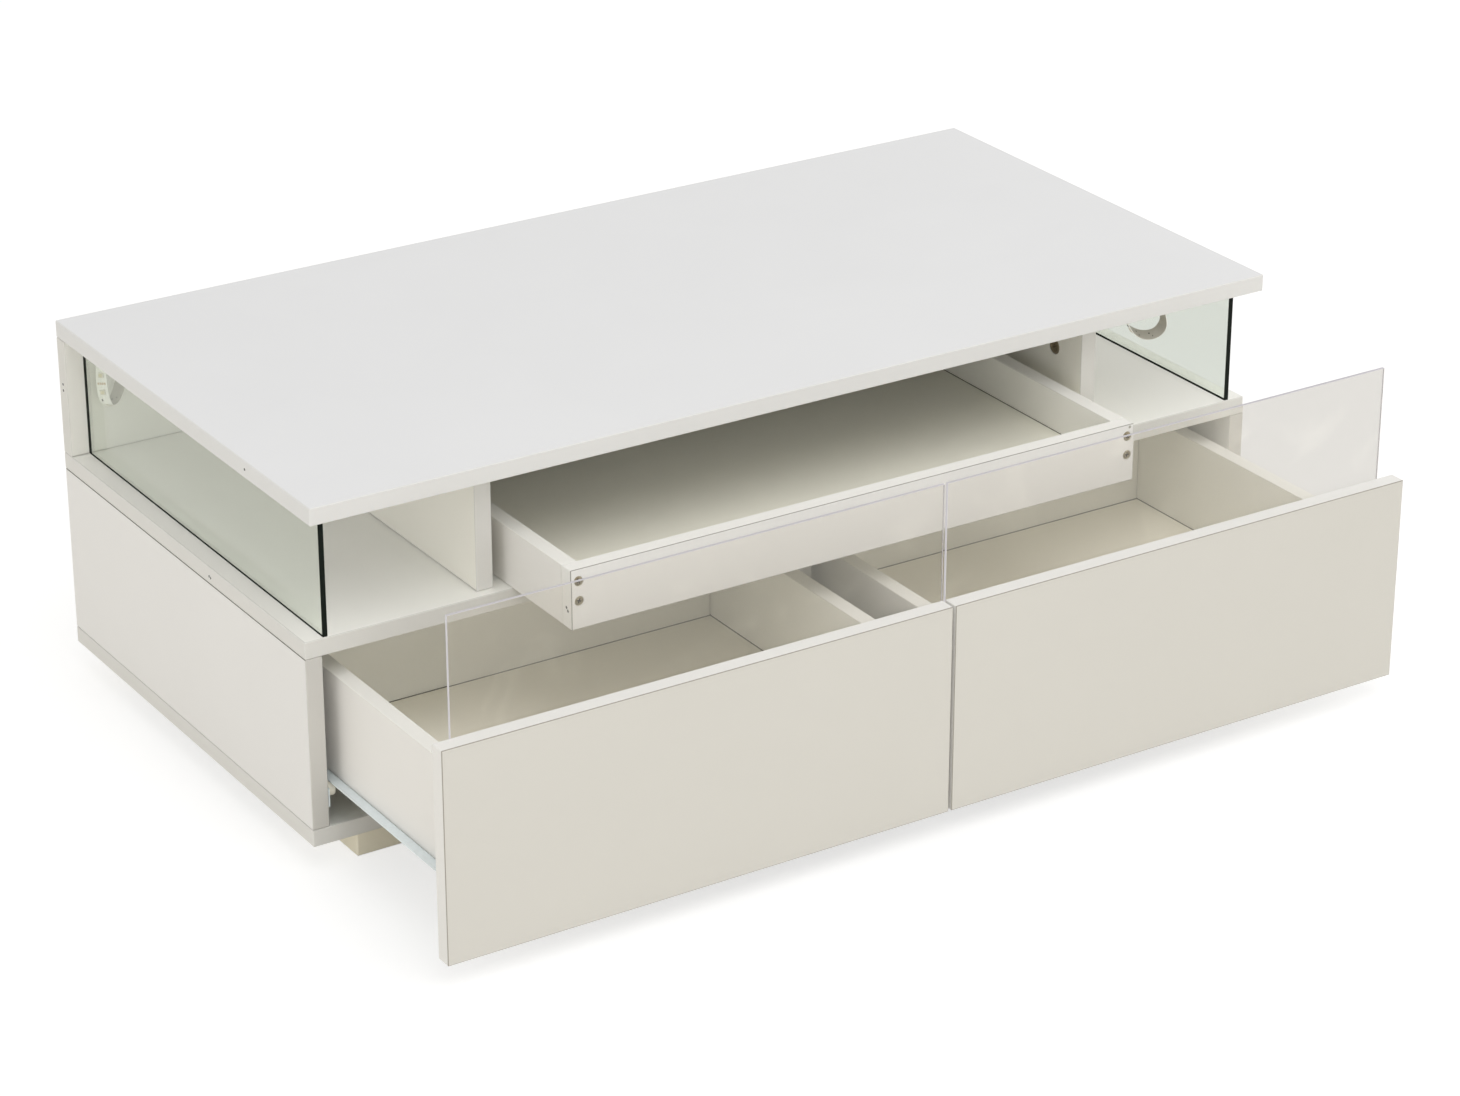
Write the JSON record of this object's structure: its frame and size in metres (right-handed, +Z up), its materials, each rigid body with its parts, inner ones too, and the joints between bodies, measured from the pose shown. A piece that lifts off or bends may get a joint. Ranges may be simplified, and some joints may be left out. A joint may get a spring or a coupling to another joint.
{
  "type": "led coffee table",
  "caption": "White coffee table with glass-ended display compartments, a sliding tray between them, and drawers on roller slides below with clear panes on their fronts.",
  "frame": {"origin": "on the floor, under the middle of the table together with its open drawers", "axes": "+X runs along the table's long side, to the right of someone facing the drawers. The drawers open towards -Y. +Z is up."},
  "size_m": [1, 0.713, 0.35],
  "materials": {
    "white_board": "white melamine-faced board, satin",
    "warm_front": "warm white high-gloss faced board",
    "box_board": "off-white paper-faced board, matt",
    "box_panel": "off-white thin fibreboard, matt",
    "side_glass": "clear float glass with a green-grey tint and ground edges",
    "clear_acrylic": "clear polished acrylic sheet",
    "slide_steel": "bluish white powder-coated sheet steel",
    "roller_plastic": "cream nylon",
    "zinc": "plain cast zinc",
    "screw_steel": "yellow-grey plated steel",
    "strip_white": "white flexible circuit strip",
    "controller_white": "white moulded plastic"
  },
  "bodies": {
    "carcass": {"table_top": "white_board", "display_shelf": "white_board", "bottom_board": "white_board", "upper_back_panel": "white_board", "lower_back_panel": "white_board", "centre_partition": "white_board", "left_side_panel": "white_board", "right_side_panel": "white_board", "left_divider": "white_board", "right_divider": "white_board", "left_glass_pane": "side_glass", "right_glass_pane": "side_glass", "front_left_foot": "white_board", "rear_left_foot": "white_board", "front_right_foot": "white_board", "rear_right_foot": "white_board", "left_divider_front_cam": "zinc", "left_divider_rear_cam": "zinc", "right_divider_front_cam": "zinc", "right_divider_rear_cam": "zinc", "left_light_strip": "strip_white", "right_light_strip": "strip_white", "light_controller": "controller_white", "left_drawer_left_channel": "slide_steel", "left_drawer_right_channel": "slide_steel", "right_drawer_left_channel": "slide_steel", "right_drawer_right_channel": "slide_steel"},
    "left_drawer": {"left_drawer_front": "warm_front", "left_drawer_pane": "clear_acrylic", "left_drawer_left_side": "box_board", "left_drawer_right_side": "box_board", "left_drawer_back": "box_board", "left_drawer_bottom": "box_panel", "left_drawer_left_rail": "slide_steel", "left_drawer_right_rail": "slide_steel"},
    "right_drawer": {"right_drawer_front": "warm_front", "right_drawer_pane": "clear_acrylic", "right_drawer_left_side": "box_board", "right_drawer_right_side": "box_board", "right_drawer_back": "box_board", "right_drawer_bottom": "box_panel", "right_drawer_left_rail": "slide_steel", "right_drawer_right_rail": "slide_steel"},
    "tray": {"tray_front": "box_board", "tray_left_side": "box_board", "tray_right_side": "box_board", "tray_back": "box_board", "tray_bottom": "box_panel", "tray_left_upper_screw": "screw_steel", "tray_left_lower_screw": "screw_steel", "tray_right_upper_screw": "screw_steel", "tray_right_lower_screw": "screw_steel"},
    "left_drawer_left_channel_roller": {"left_drawer_left_channel_roller": "roller_plastic"},
    "left_drawer_left_rail_roller": {"left_drawer_left_rail_roller": "roller_plastic"},
    "left_drawer_right_channel_roller": {"left_drawer_right_channel_roller": "roller_plastic"},
    "left_drawer_right_rail_roller": {"left_drawer_right_rail_roller": "roller_plastic"},
    "right_drawer_left_channel_roller": {"right_drawer_left_channel_roller": "roller_plastic"},
    "right_drawer_left_rail_roller": {"right_drawer_left_rail_roller": "roller_plastic"},
    "right_drawer_right_channel_roller": {"right_drawer_right_channel_roller": "roller_plastic"},
    "right_drawer_right_rail_roller": {"right_drawer_right_rail_roller": "roller_plastic"}
  },
  "joints": [
    {"name": "left_drawer_slide", "type": "slide", "parent": "carcass", "child": "left_drawer", "axis": [0, -1, 0], "range_m": [-0.213, 0.047]},
    {"name": "right_drawer_slide", "type": "slide", "parent": "carcass", "child": "right_drawer", "axis": [0, -1, 0], "range_m": [-0.213, 0.047]},
    {"name": "tray_slide", "type": "slide", "parent": "carcass", "child": "tray", "axis": [0, -1, 0], "range_m": [-0.1095, 0.0242]},
    {"name": "left_drawer_left_channel_roller_spin", "type": "hinge", "parent": "carcass", "child": "left_drawer_left_channel_roller", "pos_m": [-0.47885, -0.1144, 0.074], "axis": [1, 0, 0], "range_deg": [-1760, 400]},
    {"name": "left_drawer_left_rail_roller_spin", "type": "hinge", "parent": "left_drawer", "child": "left_drawer_left_rail_roller", "pos_m": [-0.47465, -0.051, 0.0688], "axis": [1, 0, 0], "range_deg": [-1760, 400]},
    {"name": "left_drawer_right_channel_roller_spin", "type": "hinge", "parent": "carcass", "child": "left_drawer_right_channel_roller", "pos_m": [-0.01315, -0.1144, 0.074], "axis": [1, 0, 0], "range_deg": [-1760, 400]},
    {"name": "left_drawer_right_rail_roller_spin", "type": "hinge", "parent": "left_drawer", "child": "left_drawer_right_rail_roller", "pos_m": [-0.01735, -0.051, 0.0688], "axis": [1, 0, 0], "range_deg": [-1760, 400]},
    {"name": "right_drawer_left_channel_roller_spin", "type": "hinge", "parent": "carcass", "child": "right_drawer_left_channel_roller", "pos_m": [0.01315, -0.1144, 0.074], "axis": [1, 0, 0], "range_deg": [-1760, 400]},
    {"name": "right_drawer_left_rail_roller_spin", "type": "hinge", "parent": "right_drawer", "child": "right_drawer_left_rail_roller", "pos_m": [0.01735, -0.051, 0.0688], "axis": [1, 0, 0], "range_deg": [-1760, 400]},
    {"name": "right_drawer_right_channel_roller_spin", "type": "hinge", "parent": "carcass", "child": "right_drawer_right_channel_roller", "pos_m": [0.47885, -0.1144, 0.074], "axis": [1, 0, 0], "range_deg": [-1760, 400]},
    {"name": "right_drawer_right_rail_roller_spin", "type": "hinge", "parent": "right_drawer", "child": "right_drawer_right_rail_roller", "pos_m": [0.47465, -0.051, 0.0688], "axis": [1, 0, 0], "range_deg": [-1760, 400]}
  ],
  "couplings": [
    {"joint": "right_drawer_slide", "follows": "left_drawer_slide", "ratio": 1},
    {"joint": "tray_slide", "follows": "left_drawer_slide", "ratio": 0.514},
    {"joint": "left_drawer_left_channel_roller_spin", "follows": "left_drawer_slide", "rad_per_m": 142.86},
    {"joint": "left_drawer_left_rail_roller_spin", "follows": "left_drawer_slide", "rad_per_m": 142.86},
    {"joint": "left_drawer_right_channel_roller_spin", "follows": "left_drawer_slide", "rad_per_m": 142.86},
    {"joint": "left_drawer_right_rail_roller_spin", "follows": "left_drawer_slide", "rad_per_m": 142.86},
    {"joint": "right_drawer_left_channel_roller_spin", "follows": "left_drawer_slide", "rad_per_m": 142.86},
    {"joint": "right_drawer_left_rail_roller_spin", "follows": "left_drawer_slide", "rad_per_m": 142.86},
    {"joint": "right_drawer_right_channel_roller_spin", "follows": "left_drawer_slide", "rad_per_m": 142.86},
    {"joint": "right_drawer_right_rail_roller_spin", "follows": "left_drawer_slide", "rad_per_m": 142.86}
  ]
}
